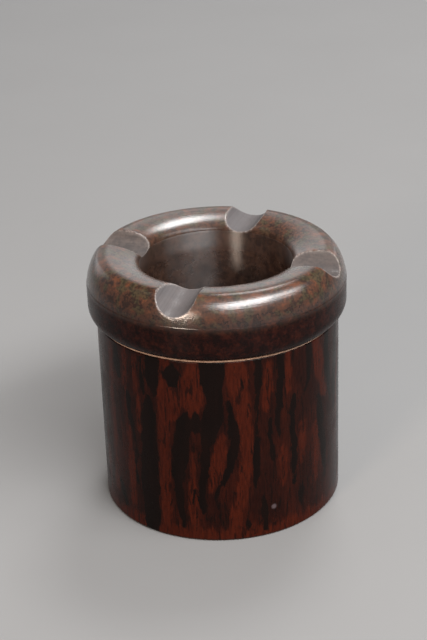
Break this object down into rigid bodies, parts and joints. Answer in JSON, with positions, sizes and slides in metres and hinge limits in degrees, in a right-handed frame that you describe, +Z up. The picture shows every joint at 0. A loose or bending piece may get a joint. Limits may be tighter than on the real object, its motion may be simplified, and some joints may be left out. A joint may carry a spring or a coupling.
{
  "type": "brush holder pot",
  "caption": "Round moulded pot with a thin seat washer and a domed lift-off rim collar, whose wide bore holds brushes and whose scooped rests hold them across the rim.",
  "frame": {"origin": "centre of the foot, on the surface the pot stands on", "axes": "+Z up along the pot's axis; the four rests run along +X, +Y, -X and -Y"},
  "size_m": [0.0682, 0.0682, 0.0697],
  "materials": {
    "streaked_phenolic": "polished, upright dark streaks",
    "fibre_washer": "matt pressed fibre",
    "mottled_phenolic": "satin polish, fine granular mottle"
  },
  "bodies": {
    "pot": {"pot_body": "streaked_phenolic"},
    "seat": {"joint_washer": "fibre_washer"},
    "collar": {"rim_collar": "mottled_phenolic"}
  },
  "joints": [
    {"name": "collar_lift", "type": "slide", "parent": "pot", "child": "seat", "axis": [0, 0, 1], "range_m": [0, 0.03]},
    {"name": "collar_turn", "type": "hinge", "parent": "seat", "child": "collar", "pos_m": [0, 0, 0.0527], "axis": [0, 0, 1], "continuous": true}
  ]
}
